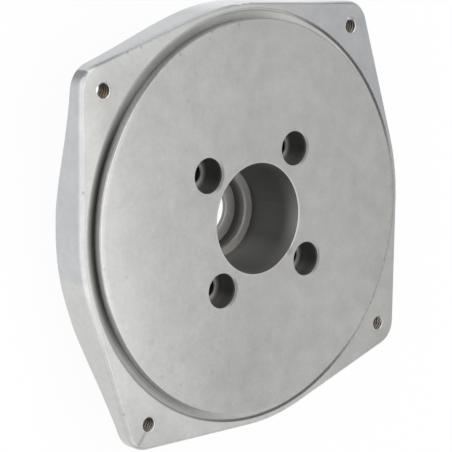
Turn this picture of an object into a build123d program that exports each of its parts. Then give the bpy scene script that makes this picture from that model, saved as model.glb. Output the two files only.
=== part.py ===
from build123d import *
import os
from math import acos, degrees

# Spigot: the turned disc that centres the motor, with the relief ring at its foot
spigot_diameter = 152.4
spigot_height = 2.8
spigot_edge = 0.5
relief_width = 3.5
relief_depth = 0.7

# Outline of the mounting face: a round body with four corner ears
body_diameter = 165.0
corner_bolt_circle = 177.8
corner_round = 10.0
ear_count = 4
first_ear_angle = 45.0
cast_round = 2.5
facing_cut = 0.3

# Depths of the back, all measured from the mounting face
wall_depth = 15.5
ear_thickness = 6.8
ear_sweep_radius = 25.0
rim_round = 1.5
back_edge_bevel = 0.7
hub_depth = 29.4
hub_diameter = 112.0

# Thread of the corner holes, 1/4-20, drawn at its full diameter
thread_diameter = 6.35

# Stepped bore, from the spigot face: cast taper, seal seat and the lip behind it
bore_mouth_diameter = 43.0
bore_floor_diameter = 37.1
bore_depth = 23.9
seat_diameter = 30.0
seat_depth = 6.3
lip_diameter = 20.8
mouth_edge = 0.25
seat_edge = 0.6
lip_edge = 0.4

# Counterbored holes for the screws into the driven machine
screw_circle = 63.5
screw_count = 4
screw_hole_diameter = 7.4
counterbore_diameter = 13.5
counterbore_depth = 9.0

# Levels, with the flat hub face at the bottom
mounting_face = hub_depth
spigot_face = mounting_face + spigot_height
wall_foot = mounting_face - wall_depth
ear_back = mounting_face - ear_thickness
bore_floor = spigot_face - bore_depth
seat_floor = bore_floor - seat_depth

# Radii
body_radius = body_diameter / 2
spigot_radius = spigot_diameter / 2
relief_radius = spigot_radius + relief_width
corner_radius = corner_bolt_circle / 2
ear_tip_radius = corner_radius + corner_round
section_reach = ear_tip_radius + corner_round
hub_radius = hub_diameter / 2
mouth_radius = bore_mouth_diameter / 2
floor_radius = bore_floor_diameter / 2
seat_radius = seat_diameter / 2
lip_radius = lip_diameter / 2

# A face counts as a side wall while its normal leans less than this
upright = 0.001

# Angle between an ear's centre line and the square-on direction of its straight flanks
flank_angle = degrees(acos((body_radius - corner_round) / corner_radius))
ear_step = 360 / ear_count

with BuildPart() as adapter_flange:
    # Outline: ear rounds and body arcs, joined by their common tangents
    with BuildSketch():
        with BuildLine():
            for ear in range(ear_count):
                ear_angle = first_ear_angle + ear * ear_step
                ear_centre = Vector(corner_radius, 0).rotate(Axis.Z, ear_angle)
                near_side = Vector(body_radius, 0).rotate(Axis.Z, ear_angle - flank_angle)
                tip = CenterArc(ear_centre, corner_round, ear_angle - flank_angle, 2 * flank_angle)
                body = CenterArc((0, 0), body_radius, ear_angle + flank_angle, ear_step - 2 * flank_angle)
                Line(near_side, tip @ 0)
                Line(tip @ 1, body @ 0)
        make_face()

    # The casting stands proud by the facing cut, so the cut leaves a crisp edge on its round
    extrude(amount=mounting_face + facing_cut)
    fillet(faces().sort_by(Axis.Z)[-1].edges(), cast_round)

    # Back: flat hub, shallow cone to the rim, hollow sweep under the ears
    with BuildSketch(Plane.XZ) as section:
        with BuildLine():
            cone = Line((hub_radius, 0), (body_radius, wall_foot))
            sweep = RadiusArc(cone @ 1, (ear_tip_radius, ear_back), ear_sweep_radius)
            Polyline(
                sweep @ 1,
                (section_reach, ear_back),
                (section_reach, mounting_face),
                (0, mounting_face),
                (0, 0),
                cone @ 0,
            )
        make_face()
        fillet(section.vertices().sort_by_distance((body_radius, 0, wall_foot))[0], rim_round)
    revolve(axis=Axis.Z, mode=Mode.INTERSECT)
    walls = faces().filter_by(lambda face: abs(face.normal_at().Z) < upright)
    back_rim = walls.edges().filter_by(Axis.Z, reverse=True).filter_by_position(Axis.Z, 0, ear_back)
    chamfer(back_rim, back_edge_bevel)

    # Spigot with a fine chamfer, standing in its relief ring
    with BuildSketch(Plane.XY.offset(mounting_face)):
        Circle(relief_radius)
        Circle(spigot_radius, mode=Mode.SUBTRACT)
    extrude(amount=-relief_depth, mode=Mode.SUBTRACT)
    with BuildSketch(Plane.XY.offset(mounting_face)):
        Circle(spigot_radius)
    extrude(amount=spigot_height)
    chamfer(faces().sort_by(Axis.Z)[-1].edges(), spigot_edge)

    # Stepped bore: tapered pocket, seal seat and lip, each mouth with its edge broken
    with BuildSketch(Plane.XZ):
        with BuildLine():
            Polyline(
                (0, 0),
                (lip_radius, 0),
                (lip_radius, seat_floor - lip_edge),
                (lip_radius + lip_edge, seat_floor),
                (seat_radius, seat_floor),
                (seat_radius, bore_floor - seat_edge),
                (seat_radius + seat_edge, bore_floor),
                (floor_radius, bore_floor),
                (mouth_radius - mouth_edge, spigot_face - mouth_edge),
                (mouth_radius, spigot_face),
                (0, spigot_face),
                close=True,
            )
        make_face()
    revolve(axis=Axis.Z, mode=Mode.SUBTRACT)

    # Screw holes: counterbored from the spigot face, drilled through to the hub face
    with Locations(Plane.XY.offset(spigot_face)):
        with PolarLocations(screw_circle / 2, screw_count, first_ear_angle):
            CounterBoreHole(screw_hole_diameter / 2, counterbore_diameter / 2, counterbore_depth)

    # Tapped holes through the ears
    with Locations(Plane.XY.offset(mounting_face)):
        with PolarLocations(corner_radius, ear_count, first_ear_angle):
            Hole(thread_diameter / 2)

adapter_flange.part.label = "adapter_flange"
os.makedirs("parts", exist_ok=True)
export_step(adapter_flange.part, "parts/adapter_flange.step")
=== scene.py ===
import bpy
from math import cos, hypot, pi, radians, sin
from mathutils import Matrix, Vector


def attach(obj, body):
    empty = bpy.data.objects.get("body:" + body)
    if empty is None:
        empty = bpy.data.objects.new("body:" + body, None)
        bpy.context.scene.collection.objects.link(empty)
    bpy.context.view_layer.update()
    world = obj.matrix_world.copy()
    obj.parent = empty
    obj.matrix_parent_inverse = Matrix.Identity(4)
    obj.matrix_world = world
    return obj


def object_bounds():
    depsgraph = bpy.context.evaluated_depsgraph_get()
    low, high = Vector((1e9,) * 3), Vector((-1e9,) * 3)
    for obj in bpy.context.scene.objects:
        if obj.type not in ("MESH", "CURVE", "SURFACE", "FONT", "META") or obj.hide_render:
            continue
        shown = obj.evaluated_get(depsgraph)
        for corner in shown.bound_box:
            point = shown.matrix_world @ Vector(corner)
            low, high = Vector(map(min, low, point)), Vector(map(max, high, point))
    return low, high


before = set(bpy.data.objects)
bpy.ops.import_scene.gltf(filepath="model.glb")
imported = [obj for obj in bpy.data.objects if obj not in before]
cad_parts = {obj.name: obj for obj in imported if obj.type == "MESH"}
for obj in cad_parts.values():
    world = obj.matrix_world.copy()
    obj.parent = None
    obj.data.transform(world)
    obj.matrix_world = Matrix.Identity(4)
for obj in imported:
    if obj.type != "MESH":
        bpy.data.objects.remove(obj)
part_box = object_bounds()

# Adapter flange
# One aluminium casting. Its mounting face, spigot, relief ring and bores are
# turned and then lightly sanded; its outer wall and back keep the cast skin.
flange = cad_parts["adapter_flange"]
body_radius = 0.0825
spigot_radius = 0.0762
spigot_height = 0.0028
spigot_edge = 0.0005
relief_radius = 0.0797
relief_depth = 0.0007
mouth_radius = 0.0215
bore_depth = 0.0239
seat_edge = 0.0006
seat_depth = 0.0063
lip_edge = 0.0004
screw_circle_radius = 0.03175
counterbore_radius = 0.00675
counterbore_depth = 0.009
corner_circle_radius = 0.0889

# Levels of the flat faces, and where the holes stand on the diagonals
spigot_level = part_box[1].z
face_level = spigot_level - spigot_height
relief_level = face_level - relief_depth
bore_floor_level = spigot_level - bore_depth
seat_floor_level = bore_floor_level - seat_depth
shoulder_level = spigot_level - counterbore_depth
screw_side = screw_circle_radius / 2 ** 0.5
corner_side = corner_circle_radius / 2 ** 0.5

# The width over which one surface gives way to the next
crisp = 0.00005

black = (0, 0, 0, 1)
white = (1, 1, 1, 1)


class Amount:
    """An output in a node tree; ordinary arithmetic on a number adds Math nodes."""

    def __init__(self, nodes, socket):
        self.nodes = nodes
        self.socket = socket

    def math(self, operation, *others):
        return self.nodes.math(operation, self, *others)

    def __add__(self, other):
        return self.math("ADD", other)

    def __sub__(self, other):
        return self.math("SUBTRACT", other)

    def __mul__(self, other):
        return self.math("MULTIPLY", other)

    def __truediv__(self, other):
        return self.math("DIVIDE", other)

    def __pow__(self, other):
        return self.math("POWER", other)

    def __abs__(self):
        return self.math("ABSOLUTE")

    def __rsub__(self, other):
        return self.nodes.math("SUBTRACT", other, self)

    def __rtruediv__(self, other):
        return self.nodes.math("DIVIDE", other, self)

    __radd__ = __add__
    __rmul__ = __mul__

    def rise(self, start, end):
        """0 at start and 1 at end, smooth between them; start may be the larger."""
        ramp = {"interpolation_type": "SMOOTHSTEP"}
        levels = {"Value": self, "From Min": start, "From Max": end, "To Min": 0.0, "To Max": 1.0}
        return self.nodes.add("ShaderNodeMapRange", ramp, levels)[0]

    def within(self, low, high, soft):
        """1 between low and high, falling to 0 over the soft width outside them."""
        return self.rise(low - soft, low) * self.rise(high + soft, high)

    def fade(self, other, share):
        """This number where share is 0, the other where it is 1."""
        return self + (other - self) * share


class Tree:
    """A node tree, made one node at a time."""

    def __init__(self, tree):
        self.tree = tree

    def plug(self, node, sockets):
        for name, value in sockets.items():
            if isinstance(value, Amount):
                self.tree.links.new(value.socket, node.inputs[name])
            else:
                node.inputs[name].default_value = value

    def add(self, kind, settings, sockets):
        """A node of a kind with its settings and sockets; gives all its outputs."""
        made = self.tree.nodes.new(kind)
        for name, value in settings.items():
            setattr(made, name, value)
        self.plug(made, sockets)
        return [Amount(self, output) for output in made.outputs]

    def math(self, operation, *terms):
        return self.add("ShaderNodeMath", {"operation": operation}, dict(enumerate(terms)))[0]

    def split(self, vector):
        return self.add("ShaderNodeSeparateXYZ", {}, {0: vector})


class Finish(Tree):
    """The nodes of a material or a world."""

    def __init__(self, owner):
        owner.use_nodes = True
        super().__init__(owner.node_tree)
        self.owner = owner
        self.shader = next(node for node in self.tree.nodes if node.outputs)
        self.output = next(node for node in self.tree.nodes if not node.outputs)
        coordinates = self.tree.nodes.new("ShaderNodeTexCoord")
        self.place = Amount(self, coordinates.outputs["Object"])
        self.direction = Amount(self, coordinates.outputs["Generated"])

    def cloud(self, size, detail, shift=0.0):
        """Soft noise, from about -0.5 to 0.5, with patches of the given size in metres."""
        moved = self.add("ShaderNodeMapping", {}, {"Vector": self.place, "Location": (shift, shift, 0)})[0]
        sockets = {"Vector": moved, "Scale": 1 / size, "Detail": detail}
        return self.add("ShaderNodeTexNoise", {}, sockets)[0] - 0.5

    def lines(self, across, spacing):
        """Uneven lines side by side, from about -0.5 to 0.5, with the given spacing in metres."""
        sockets = {"W": across, "Scale": 1 / spacing, "Detail": 1.0}
        return self.add("ShaderNodeTexNoise", {"noise_dimensions": "1D"}, sockets)[0] - 0.5

    def blend(self, share, first, second):
        """Colour between first and second by share; a Mix node's colours are sockets 6 and 7."""
        return self.add("ShaderNodeMix", {"data_type": "RGBA"}, {0: share, 6: first, 7: second})[2]

    def near(self, spot, size, soft):
        """1 on the surface around a spot, falling to 0 over the soft width outside its size."""
        gap = self.add("ShaderNodeVectorMath", {"operation": "DISTANCE"}, {0: self.place, 1: spot})[1]
        return gap.rise(size + soft, size)

    def stroke(self, start, end, width, soft):
        """1 along a straight stroke between two spots in plan, falling to 0 over the soft width."""
        east, north, _ = self.split(self.place)
        run_east, run_north = end[0] - start[0], end[1] - start[1]
        length = hypot(run_east, run_north)
        east, north = east - start[0], north - start[1]
        along = (east * run_east + north * run_north) / length
        aside = abs(north * run_east - east * run_north) / length
        return along.within(0.0, length, soft) * aside.rise(width / 2 + soft, width / 2)


class Plan:
    """Where a surface lies in plan, seen from an upright axis."""

    def __init__(self, east, north):
        self.east = east
        self.north = north
        self.radius = (east ** 2 + north ** 2) ** 0.5

    def towards(self, azimuth):
        """1 straight towards an azimuth in degrees from +X, 0 square to it, -1 away from it."""
        turn = radians(azimuth)
        return (self.east * cos(turn) + self.north * sin(turn)) / self.radius


def nearest_axis(east, north, side):
    """The plan seen from the nearest of four axes that stand at the given distance to each side."""
    return Plan(east - east.math("SIGN") * side, north - north.math("SIGN") * side)


skin = Finish(bpy.data.materials.new("sanded_aluminium"))
x, y, z = skin.split(skin.place)
centre = Plan(x, y)
radius = centre.radius
screw = nearest_axis(x, y, screw_side)
below_spigot = spigot_level - z
below_face = face_level - z

# Where the surfaces are: the disc, the mounting face round it, the cast skin and the recesses
disc = below_spigot.rise(2 * crisp, crisp)
beyond_relief = radius.rise(relief_radius - crisp, relief_radius + crisp)
flat = below_face.rise(2 * crisp, crisp)
mounting_face = beyond_relief * flat
cast_wall = beyond_relief * (1 - flat)
recess = (1 - disc) * z.rise(2 * crisp, 4 * crisp)
in_bore = radius.rise(mouth_radius + 2 * crisp, mouth_radius) * recess
in_screw_hole = screw.radius.rise(counterbore_radius + 2 * crisp, counterbore_radius) * recess

# Tone, 0 for black and 1 for the brightest metal. The sanded faces have broad patches, smudges,
# a mottle that is stronger on the left, and grain
patches = skin.cloud(0.03, 2.0)
smudges = skin.cloud(0.008, 4.0, shift=0.3)
mottle = skin.cloud(0.0025, 1.0, shift=0.7) * (0.03 + x.rise(0.02, -0.06) * 0.05)
grain = skin.cloud(0.0011, 2.0)
tone = 0.70 + patches * 0.10 + smudges * 0.12 + mottle + grain * 0.10

# Shades of the disc: duller across the middle and at the front, paler at its left rim
dull_middle = x.rise(0.040, 0.0) * x.rise(-0.068, -0.045)
dull_front = skin.near((-0.022, -0.055, spigot_level), 0.006, 0.024)
pale_left = x.rise(-0.060, -0.070)
tone = tone + disc * (pale_left * 0.05 - dull_middle * 0.065 - dull_front * 0.05)

# Shades of the mounting face: darker patches on both left ears, duller at the front and on the right
upper_ear_darkening = skin.near((-0.0573, 0.0573, face_level), 0.008, 0.014)
lower_ear_darkening = skin.near((-0.0665, -0.0705, face_level), 0.004, 0.022)
pale_flank = x.rise(-0.062, -0.068) * y.rise(0.035, 0.050)
right_side = x.rise(0.02, 0.05)
face_shade = 0.06 + pale_flank * 0.07 - (upper_ear_darkening + lower_ear_darkening) * 0.11
tone = tone + mounting_face * (face_shade - y.rise(-0.060, -0.075) * 0.03 - right_side * 0.04)

# Dark nicks on the edges, and specks: their places, level, size, soft width and strength
edge_nicks = ((-0.0775, 0.0297), (-0.0735, -0.0551), (-0.0440, 0.0746), (-0.0502, 0.0739))
disc_nicks = ((-0.0752, 0.0015), (-0.0288, 0.0692), (-0.0126, 0.0744), (0.0010, 0.0748))
specks = ((-0.0277, 0.0520), (-0.0662, -0.0041), (-0.0561, -0.0457), (-0.0478, -0.0517))
faint_specks = ((-0.0588, -0.0314), (-0.0514, -0.0451), (-0.0452, -0.0423), (-0.0317, -0.0521))
marks = (
    (edge_nicks, face_level, 0.0001, 0.0008, 0.22),
    (disc_nicks, spigot_level, 0.0002, 0.0008, 0.14),
    (specks, spigot_level, 0.0002, 0.0010, 0.08),
    (faint_specks, spigot_level, 0.0004, 0.0014, 0.04),
)
for spots, level, size, soft, strength in marks:
    for spot in spots:
        tone = tone - skin.near((*spot, level), size, soft) * strength

# Two rubbed streaks on the disc; the painted shade of a crease by one corner hole; a fine raised line by
# the left edge,
# painted as a shaded and a lit stripe: the surface they lie on, their start, end, width, soft width and
# strength
strokes = (
    (disc, (0.0541, 0.0143), (0.0500, -0.0396), 0.001, 0.004, 0.02),
    (disc, (0.0629, -0.0338), (0.0623, -0.0432), 0.001, 0.003, 0.03),
    (mounting_face, (-0.0645, -0.0650), (-0.0692, -0.0694), 0.0006, 0.0007, 0.16),
    (mounting_face, (-0.0771, -0.0286), (-0.0724, -0.0593), 0.0002, 0.0003, 0.06),
    (mounting_face, (-0.0774, -0.0286), (-0.0727, -0.0593), 0.0002, 0.0003, -0.08),
)
for surface, start, end, width, soft, strength in strokes:
    tone = tone - surface * skin.stroke(start, end, width, soft) * strength

# Directions that several edges share, and both ends of the ring's dark gap
leftward = centre.towards(165)
over_top = centre.towards(105)
over_right = centre.towards(82.5)
lower_left = centre.towards(218)
right_end = centre.towards(34.8).rise(0.80, 0.97)
front_end = centre.towards(-87).rise(0.80, 0.97)

# Edges: painted shade darkens the spigot's chamfer except at the front, where it catches the light, and
# the rims get a painted highlight on the left
chamfer = below_spigot.within(2 * crisp, spigot_edge, crisp)
chamfer = chamfer * radius.rise(spigot_radius - 0.0008, spigot_radius - 0.0006)
# How much painted shade darkens the chamfer, by direction round the spigot
chamfer_painted_shade = 0.18 + leftward.rise(0.1, 0.6) * 0.34 - centre.towards(-30).rise(0.6, 0.9) * 0.5
chamfer_painted_shade = chamfer_painted_shade - centre.towards(172).rise(0.90, 0.98) * 0.30
chamfer_painted_shade = chamfer_painted_shade - over_top.rise(0.93, 1.0) * 0.45 - lower_left.rise(0.9, 1.0) * 0.12
tone = tone * (1 - chamfer * chamfer_painted_shade)
# Painted highlights along the top rim of the wall and the left rim of the disc
wall_rim_highlight = radius.rise(body_radius - 0.0013, body_radius - 0.0009) * below_face.rise(0.002, 0.001)
disc_rim_highlight = disc * leftward.rise(0.78, 0.95) * radius.rise(spigot_radius - 0.0027, spigot_radius - 0.0014)
disc_rim_highlight = disc_rim_highlight * (0.10 + radius.rise(spigot_radius - 0.0011, spigot_radius - 0.0007) * 0.08)
tone = tone + centre.towards(174).rise(0.96, 0.995) * wall_rim_highlight * 0.08 + disc_rim_highlight
# A painted shade line on the mounting face along the relief ring, weaker at both ends of the ring's gap
relief_edge_shade = mounting_face * radius.rise(relief_radius + 0.0004, relief_radius + 0.0002)
tone = tone - relief_edge_shade * (0.20 - (right_end + front_end) * 0.18)

# The cast round under the face: painted highlights on the top and left flanks, painted shade on the front
# flank and on the lower ears
cast_round = cast_wall * below_face.rise(0.0018, 0.0009)
top_flank_highlight = y.rise(0.0725, 0.0760) * below_face.rise(0.0011, 0.0006)
left_flank_highlight = x.rise(-0.0700, -0.0715) * y.rise(0.020, 0.055)
tone = tone + cast_round * (top_flank_highlight * 0.26 + left_flank_highlight * 0.07)
# Painted shade on the front flank and on the lower ears
front_flank_shade = y.rise(-0.005, -0.040) * 0.23 + y.rise(-0.045, -0.060) * 0.04
front_flank_shade = front_flank_shade * y.rise(-0.0715, -0.0695)
foot_flank_shade = y.rise(-0.0700, -0.0715) * below_face.rise(0.0003, 0.0008) * 0.14
tone = tone * (1 - cast_round * (front_flank_shade + foot_flank_shade))

# Cast wall: duller towards the back, a painted dark reflection that slopes down round the upper left ear,
# and a painted highlight on top
back_part = y.rise(-0.004, -0.0015)
# Where the painted dark reflection reaches round the upper left ear, and how it slopes down
ear_turn = (y - corner_side).math("ARCTAN2", x + corner_side)
dark_reflection_reach = ear_turn.rise(radians(122), radians(126)) * ear_turn.rise(radians(166), radians(132))
dark_reflection_slope = (ear_turn - radians(135)).math("MAXIMUM", 0.0) * 0.0052
dark_reflection = 0.3 + (below_face - dark_reflection_slope).rise(0.0002, 0.0007) * 0.7
dark_reflection = dark_reflection * dark_reflection_reach * y.rise(0.05, 0.055)
# A painted highlight along the top of the wall
top_highlight = x.rise(-0.016, 0.002) * y.rise(0.070, 0.078)
tone = tone - cast_wall * (0.03 + back_part * 0.04 + dark_reflection * 0.36 - top_highlight * 0.25)

# Relief ring: grey residue and painted shade packed in both of its corners, most of it on the left
on_ring = radius.within(spigot_radius - 0.0006, relief_radius + crisp, crisp) * (1 - flat)
ring_floor = z.rise(relief_level + 3 * crisp, relief_level + crisp)
spigot_wall = radius.rise(spigot_radius + 2 * crisp, spigot_radius) * (1 - disc)
spigot_wall = spigot_wall * radius.rise(spigot_radius - 0.0014, spigot_radius - 0.0010)
in_ring = (on_ring + spigot_wall).math("MINIMUM", 1.0)
# How strongly the residue and painted shade lie round the ring, most on the left
dirt_and_shade_side = (leftward + over_top.rise(0.8, 0.9) * 0.15).rise(-0.15, 0.45)
packed_and_shaded = centre.towards(168).rise(0.72, 0.98)
from_corner = ((radius - spigot_radius) ** 2 + (z - relief_level) ** 2) ** 0.5
floor_share = 0.5 + from_corner.rise(0.0020, 0.0042) * 0.5 + over_right.rise(0.93, 0.98) * 0.15
# A paler band on the ring's floor at the lower left
pale_band = from_corner.within(0.0018, 0.0023, 0.0006)
floor_share = floor_share + lower_left.rise(0.9, 1.0) * pale_band * 0.12
floor_share = floor_share * (1 - packed_and_shaded * (1 - from_corner.rise(0.0006, 0.0032)) * 0.8)
wall_share = 0.67 - packed_and_shaded * 0.25 + from_corner.rise(0.0, 0.0018) * (0.43 + packed_and_shaded * 0.25)
wall_share = wall_share * (1 - from_corner.rise(0.0022, 0.0030) * (1 - packed_and_shaded) * 0.15)
wall_share = wall_share * (1 - over_top.rise(0.82, 1.05) * 0.45)
wall_share = wall_share * (1 - lower_left.rise(0.85, 1.0) * 0.35)
residue_and_shade = 1 - wall_share.fade(floor_share, ring_floor)
tone = tone * (1 - in_ring * residue_and_shade * dirt_and_shade_side)

# The ring's outer foot with a painted shadow, its turning lines, and painted light on its wall and on the
# right
from_wall = relief_radius - radius
# Painted shadow in the ring's outer foot, at both ends of its dark gap
gap = from_wall.within(0.0002, 0.0008, 0.0003) * (right_end * 0.76 + front_end * 0.56)
gap = gap + radius.rise(spigot_radius + 0.0006, spigot_radius + 0.0018) * front_end * 0.14
gap = gap + from_wall.within(0.0001, 0.0006, 0.0002) * lower_left.rise(0.80, 0.97) * 0.34
gap = gap + from_wall.within(0.0006, 0.0008, 0.0003) * over_right.rise(0.95, 0.99) * 0.35
lit_wall = (1 - ring_floor) * centre.towards(-60).rise(0.5, 0.8) * 0.12
lit_right = centre.towards(-18).rise(0.70, 0.86) * 0.1
turning = ring_floor * skin.lines(radius, 0.0004) * 0.30
tone = tone * (1 - on_ring * ring_floor * gap) * (1 + on_ring * (lit_wall + lit_right + turning))


def flat_at(level):
    """1 on a flat face at the given level."""
    return z.within(level - crisp, level + crisp, crisp)


# Bore: dull cast taper, darker with depth and at the mouth's chamfer by painted shade, and with painted
# light near the mouth and at the front; turned ledge, seat and lip below it, the seat wall darker lower
# down by painted shade
taper = z.rise(bore_floor_level + crisp, bore_floor_level + 2 * crisp)
seat_chamfer = z.within(bore_floor_level - seat_edge, bore_floor_level - 2 * crisp, crisp)
seat_wall = z.within(seat_floor_level + crisp, bore_floor_level - seat_edge - 2 * crisp, crisp)
lip_chamfer = z.within(seat_floor_level - lip_edge, seat_floor_level - 2 * crisp, crisp)
lip_wall = z.rise(seat_floor_level - lip_edge, seat_floor_level - lip_edge - 2 * crisp)
# Painted light near the bore's mouth on one side, also used for the glint on its edge
mouth_light = centre.towards(-15).math("MAXIMUM", 0.0) ** 6
taper_tone = 0.17 + below_spigot.rise(0.0082, 0.0) * (0.05 + mouth_light * 0.30)
taper_tone = taper_tone - below_spigot.rise(0.012, 0.022) * 0.035
taper_tone = taper_tone + centre.towards(-90).rise(0.6, 1.0) * 0.17
taper_tone = taper_tone * (1 - below_spigot.rise(0.0004, 0.0002) * 0.65)
turned = 1 + grain * 0.35
bore_tones = (
    (taper, taper_tone),
    (flat_at(bore_floor_level), turned * 0.55),
    (seat_chamfer, 0.38),
    (seat_wall, 0.115 + z.rise(0.004, 0.0075) * 0.10),
    (flat_at(seat_floor_level), turned * (0.60 + radius.rise(0.0120, 0.0110) * 0.1)),
    (lip_chamfer, 0.75),
    (lip_wall, 0.30),
)
tone = tone.fade(sum(surface * shade for surface, shade in bore_tones), in_bore)

# Counterbores: dark walls, darkest in the upper left one, with painted shade deeper down; a bright turned
# shoulder with painted shade towards its wall and at the hole's edge; painted light on both at the front
# Painted light at the front of each counterbore
screw_front = screw.towards(-90).rise(0.3, 1.0)
darkest = x.rise(0.0, -0.01) * y.rise(0.0, 0.01)
wall_tone = 0.15 + below_spigot.rise(0.0016, 0.0) * 0.28 + screw_front * 0.17
shoulder_tone = 0.24 + screw.radius.rise(0.0062, 0.0046) * 0.42 + screw_front * 0.12
screw_tones = (
    (z.rise(shoulder_level + crisp, shoulder_level + 2 * crisp), wall_tone * (1 - darkest * 0.16)),
    (flat_at(shoulder_level), shoulder_tone - screw.radius.rise(0.0045, 0.0038) * 0.40),
    (z.rise(shoulder_level - crisp, shoulder_level - 2 * crisp), 0.12),
)
tone = tone.fade(sum(surface * shade for surface, shade in screw_tones), in_screw_hole)

# Round the mouths: a painted shade ring outside each counterbore on one side, a painted glint and the
# painted shade of a dent on the bore's edge
counterbore_rim_shade = screw.radius.within(0.0071, 0.0077, 0.0004) * screw.towards(-21.7).rise(0.5, 0.95) * 0.27
glint = radius.within(mouth_radius + 0.0001, mouth_radius + 0.0005, 0.0002) * (0.06 + mouth_light * 0.3)
dent_shade = skin.near((0.0141, -0.0169, spigot_level), 0.0008, 0.0016) * 0.18
tone = tone + disc * (glint - counterbore_rim_shade - dent_shade)

# Colour: warm grey where sanded, cooler on the cast skin and one ear, oily in the holes
warm_grey = skin.blend(tone, black, (0.905, 0.9, 0.878, 1))
cool_grey = skin.blend(tone, black, (0.885, 0.9, 0.915, 1))
oily_grey = skin.blend(tone, black, (0.915, 0.905, 0.872, 1))
cool_ear = mounting_face * right_side * y.rise(0.0, 0.03)
in_hole = in_bore + in_screw_hole
colour = skin.blend(cast_wall * back_part + cool_ear, warm_grey, cool_grey)
colour = skin.blend(in_hole, colour, oily_grey)
roughness = 0.325 + smudges * 0.08 + grain * 0.03 + (in_hole + in_ring) * 0.22
sanding = {"Strength": 0.05, "Distance": 0.0002, "Height": skin.cloud(0.002, 0.0)}
bumps = skin.add("ShaderNodeBump", {}, sanding)[0]
skin.plug(skin.shader, {"Base Color": colour, "Metallic": 1.0, "Roughness": roughness, "Normal": bumps})
for slot in flange.material_slots:
    slot.material = skin.owner

# Corner threads
# The four tapped holes, 1/4-20. Each has a slight countersink, burred by the tap on
# two of them, and a V thread left dull by the tap and its oil.
thread_radius = 0.003175
crest_radius = 0.00262
crest_flat = 0.00012
thread_pitch = 0.00127
thread_turns = 6
steps_per_turn = 40
wall_overlap = 0.00007
countersink_depth = 0.0002
countersink_step = 0.00003
rim_steps = 48
hole_count = 4
white_burr = (-corner_side - 0.00265, corner_side + 0.0010, face_level + 0.00002)
grey_burr = (corner_side + 0.0003, corner_side + 0.0031, face_level - 0.0001)
burrs = (
    (white_burr, (0.0006, 0.0013, 0.0003), -25),
    (grey_burr, (0.0021, 0.0008, 0.0002), -15),
)

tapping = bpy.data.node_groups.new("tapped_holes", "GeometryNodeTree")
tapping.interface.new_socket("Geometry", in_out="INPUT", socket_type="NodeSocketGeometry")
tapping.interface.new_socket("Geometry", in_out="OUTPUT", socket_type="NodeSocketGeometry")
sizes = {
    "Circle Radius": corner_circle_radius,
    "Face Level": face_level,
    "Thread Radius": thread_radius,
    "Crest Radius": crest_radius,
    "Pitch": thread_pitch,
    "Turns": thread_turns,
    "Countersink Depth": countersink_depth,
    "Countersink Step": countersink_step,
}
identifiers = {}
for name in sizes:
    size_socket = tapping.interface.new_socket(name, in_out="INPUT", socket_type="NodeSocketFloat")
    identifiers[name] = size_socket.identifier
taps = Tree(tapping)
given = dict(zip(("Geometry", *sizes), taps.add("NodeGroupInput", {}, {})))


def profile(*corners):
    """A profile to sweep, from four corners: distance towards the hole's axis, and height."""
    points = {}
    for number, (inward, up) in enumerate(corners, 1):
        point = taps.add("ShaderNodeCombineXYZ", {}, {"X": inward * -1, "Y": up * -1})[0]
        points[f"Point {number}"] = point
    return taps.add("GeometryNodeCurvePrimitiveQuadrilateral", {"mode": "POINTS"}, points)[0]


def joined(shapes):
    """Several shapes as one."""
    join = tapping.nodes.new("GeometryNodeJoinGeometry")
    for shape in shapes:
        tapping.links.new(shape.socket, join.inputs[0])
    return Amount(taps, join.outputs[0])


# The ridge of the thread winds down from the countersink, a V with its crest cut flat
root_radius = given["Thread Radius"] + wall_overlap
ridge_height = root_radius - given["Crest Radius"]
thread_run = given["Pitch"] * given["Turns"]
half_pitch = given["Pitch"] * 0.5
thread_foot = given["Face Level"] - (given["Countersink Depth"] + half_pitch) - thread_run
helix = taps.add("GeometryNodeCurveSpiral", {}, {
    "Resolution": steps_per_turn,
    "Rotations": given["Turns"],
    "Start Radius": root_radius,
    "End Radius": root_radius,
    "Height": thread_run,
    "Reverse": True,
})[0]
ridge = profile(
    (0.0, half_pitch),
    (ridge_height, crest_flat / 2),
    (ridge_height, -crest_flat / 2),
    (0.0, half_pitch * -1),
)

# The countersink is a cone ring round the mouth
rim_circle = {"Resolution": rim_steps, "Radius": root_radius}
rim = taps.add("GeometryNodeCurvePrimitiveCircle", {}, rim_circle)[0]
cone_foot = given["Countersink Depth"] * -1
cone = profile(
    (0.0, given["Countersink Step"] * -1),
    (ridge_height, cone_foot),
    (ridge_height, cone_foot - crest_flat),
    (0.0, half_pitch * -1),
)

shapes = []
for path, section, foot in ((helix, ridge, thread_foot), (rim, cone, given["Face Level"])):
    upright = taps.add("GeometryNodeSetCurveNormal", {"mode": "Z_UP"}, {"Curve": path})[0]
    sweep = {"Curve": upright, "Profile Curve": section, "Fill Caps": True}
    swept = taps.add("GeometryNodeCurveToMesh", {}, sweep)[0]
    outward = taps.add("GeometryNodeFlipFaces", {}, {"Mesh": swept})[0]
    lift = taps.add("ShaderNodeCombineXYZ", {}, {"Z": foot})[0]
    shapes.append(taps.add("GeometryNodeTransform", {}, {"Geometry": outward, "Translation": lift})[0])

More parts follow.
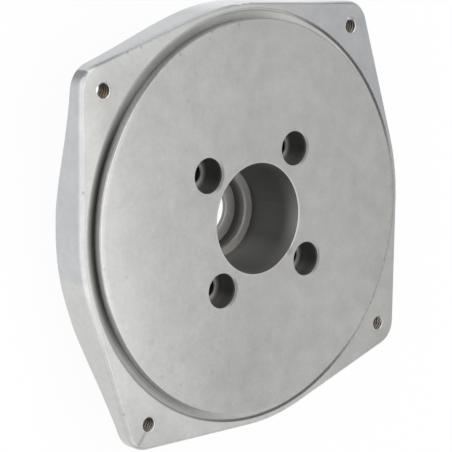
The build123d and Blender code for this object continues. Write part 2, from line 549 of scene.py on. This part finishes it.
# One in each ear, its start turned inwards, with the burrs beside them
circle = {"Vertices": hole_count, "Radius": given["Circle Radius"]}
ears = taps.add("GeometryNodeMeshCircle", {}, circle)[0]
diagonal = {"Geometry": ears, "Rotation": (0, 0, pi / hole_count)}
ears = taps.add("GeometryNodeTransform", {}, diagonal)[0]
ear_number = taps.add("GeometryNodeInputIndex", {}, {})[0]
inwards = ear_number * (2 * pi / hole_count) + (pi + pi / hole_count)
facing = taps.add("ShaderNodeCombineXYZ", {}, {"Z": inwards})[0]
placing = {"Points": ears, "Instance": joined(shapes), "Rotation": facing}
pieces = [taps.add("GeometryNodeInstanceOnPoints", {}, placing)[0]]
curl = taps.add("GeometryNodeMeshIcoSphere", {}, {"Radius": 1.0, "Subdivisions": 3})[0]
for spot, size, turn in burrs:
    shaping = {"Geometry": curl, "Translation": spot, "Rotation": (0, 0, radians(turn)), "Scale": size}
    pieces.append(taps.add("GeometryNodeTransform", {}, shaping)[0])
real = taps.add("GeometryNodeRealizeInstances", {}, {"Geometry": joined(pieces)})[0]

# Tone of the cut: painted shade in the roots, paler crests, painted light towards the front and deep down,
# and a painted lit crescent in one hole
cut = Finish(bpy.data.materials.new("tapped_aluminium"))
cut_x, cut_y, cut_z = cut.split(cut.place)
hole = nearest_axis(cut_x, cut_y, corner_side)
cut_depth = face_level - cut_z
countersunk = cut_depth.rise(countersink_depth + crisp / 2, countersink_depth)
cut_tone = 0.08 + hole.radius.rise(0.0030, 0.0027) * 0.14 + cut_depth.rise(0.002, 0.007) * 0.26
cut_tone = cut_tone + hole.towards(-90).rise(-0.2, 0.9) * 0.24 + cut.cloud(0.002, 2.0) * 0.08
# A painted lit crescent in one hole
lit_crescent_hole = cut_x.rise(0.0, 0.01) * cut_y.rise(0.0, -0.01)
lit_crescent_side = hole.towards(37).rise(0.40, 0.80) * cut_depth.rise(0.0040, 0.0024)
cut_tone = cut_tone + lit_crescent_hole * lit_crescent_side * 0.40
# The countersink ring: painted shade at its inner edge, painted highlights towards its lower right and
# round the white burr
rim_tone = 0.45 + hole.radius.rise(0.0026, 0.0031) * 0.25 + hole.towards(-53).rise(0.2, 0.9) * 0.2
rim_tone = rim_tone + cut.near(white_burr, 0.0013, 0.0003) * 0.25
cut_tone = cut_tone.fade(rim_tone, countersunk)

# Old oil leaves a brown tint below the countersinks, strongest in one hole
stain_spot = (0.0018 - corner_side, corner_side - 0.0018, face_level - 0.003)
oil = 0.35 + cut.cloud(0.003, 1.0) * 0.6 + cut.near(stain_spot, 0.001, 0.0025) * 0.6
clean_metal = (0.9, 0.9, 0.885, 1)
brown_oil = (1.0, 0.78, 0.55, 1)
tint = cut.blend((1 - countersunk) * oil, clean_metal, brown_oil)
cut_roughness = 0.5 + cut.cloud(0.0009, 2.0) * 0.1 - countersunk * 0.15
cut_colour = cut.blend(cut_tone, black, tint)
cut.plug(cut.shader, {"Base Color": cut_colour, "Metallic": 1.0, "Roughness": cut_roughness})
dressed = taps.add("GeometryNodeSetMaterial", {}, {"Geometry": real, "Material": cut.owner})[0]
taps.add("NodeGroupOutput", {}, {"Geometry": dressed})

pattern = bpy.data.objects.new("thread_pattern", bpy.data.meshes.new("thread_pattern"))
bpy.context.scene.collection.objects.link(pattern)
maker = pattern.modifiers.new("tapped_holes", "NODES")
maker.node_group = tapping
for name, size in sizes.items():
    maker[identifiers[name]] = size
ready = pattern.evaluated_get(bpy.context.evaluated_depsgraph_get())
threads = bpy.data.objects.new("corner_threads", bpy.data.meshes.new_from_object(ready))
bpy.data.objects.remove(pattern)
bpy.context.scene.collection.objects.link(threads)
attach(threads, "root")

# Floor
# A wide sheet of white paper that the part lies on. The camera and the metal
# see it as white, and it keeps the part's faint shadow.
floor_reach = 3.0
floor_level = -0.00002
white_share = 0.94
floor_corners = [
    (-floor_reach, -floor_reach, floor_level),
    (floor_reach, -floor_reach, floor_level),
    (floor_reach, floor_reach, floor_level),
    (-floor_reach, floor_reach, floor_level),
]
floor_mesh = bpy.data.meshes.new("floor")
floor_mesh.from_pydata(floor_corners, [], [(0, 1, 2, 3)])
floor = bpy.data.objects.new("floor", floor_mesh)
bpy.context.scene.collection.objects.link(floor)
paper = Finish(bpy.data.materials.new("white_paper"))
paper.plug(paper.shader, {"Base Color": (0.8, 0.8, 0.8, 1), "Roughness": 0.9})
camera_ray, _, _, glossy_ray, *_ = paper.add("ShaderNodeLightPath", {}, {})
seen = (camera_ray + glossy_ray) * white_share
glow = paper.add("ShaderNodeEmission", {}, {"Color": white, "Strength": 1.0})[0]
sheet = Amount(paper, paper.shader.outputs[0])
lit = paper.add("ShaderNodeMixShader", {}, {0: seen, 1: sheet, 2: glow})[0]
paper.plug(paper.output, {"Surface": lit})
floor_mesh.materials.append(paper.owner)

# Light
# A light tent: white overhead and on the left, with its brightness falling off
# steeply towards the open right side.
open_side = 0.34

# How the brightness changes with the slant up and to the left: start and end of each step, and its gain
tent_steps = (
    (-0.4, -0.05, 0.08),
    (-0.05, 0.06, 0.10),
    (0.14, 0.22, 0.14),
    (0.21, 0.31, 0.84),
    (0.3, 0.5, 0.1),
    (0.5, 1.4, -0.4),
)
tent = Finish(bpy.data.worlds.new("light_tent"))
bpy.context.scene.world = tent.owner
right, _, up = tent.split(tent.direction)
slant = up - right
brightness = open_side + sum(slant.rise(start, end) * gain for start, end, gain in tent_steps)
tent.plug(tent.shader, {"Color": white, "Strength": brightness})

# Camera
# Stands where the photo was taken from, to the left of the part and above it,
# rolled so that the part's +Y side is up in the picture.
eye = Vector((-0.3851, 0.15755, spigot_level + 0.4292))
across = Vector((0.7337, -0.1117, 0.6702))
upward = Vector((0.2598, 0.9575, -0.1249))
camera_data = bpy.data.cameras.new("camera")
camera_data.lens = 124.44
camera_data.sensor_width = 36
camera = bpy.data.objects.new("camera", camera_data)
aim = Matrix((across, upward, across.cross(upward))).transposed().to_4x4()
camera.matrix_world = Matrix.Translation(eye) @ aim
bpy.context.scene.collection.objects.link(camera)
bpy.context.scene.camera = camera
bpy.context.scene.view_settings.view_transform = "Standard"
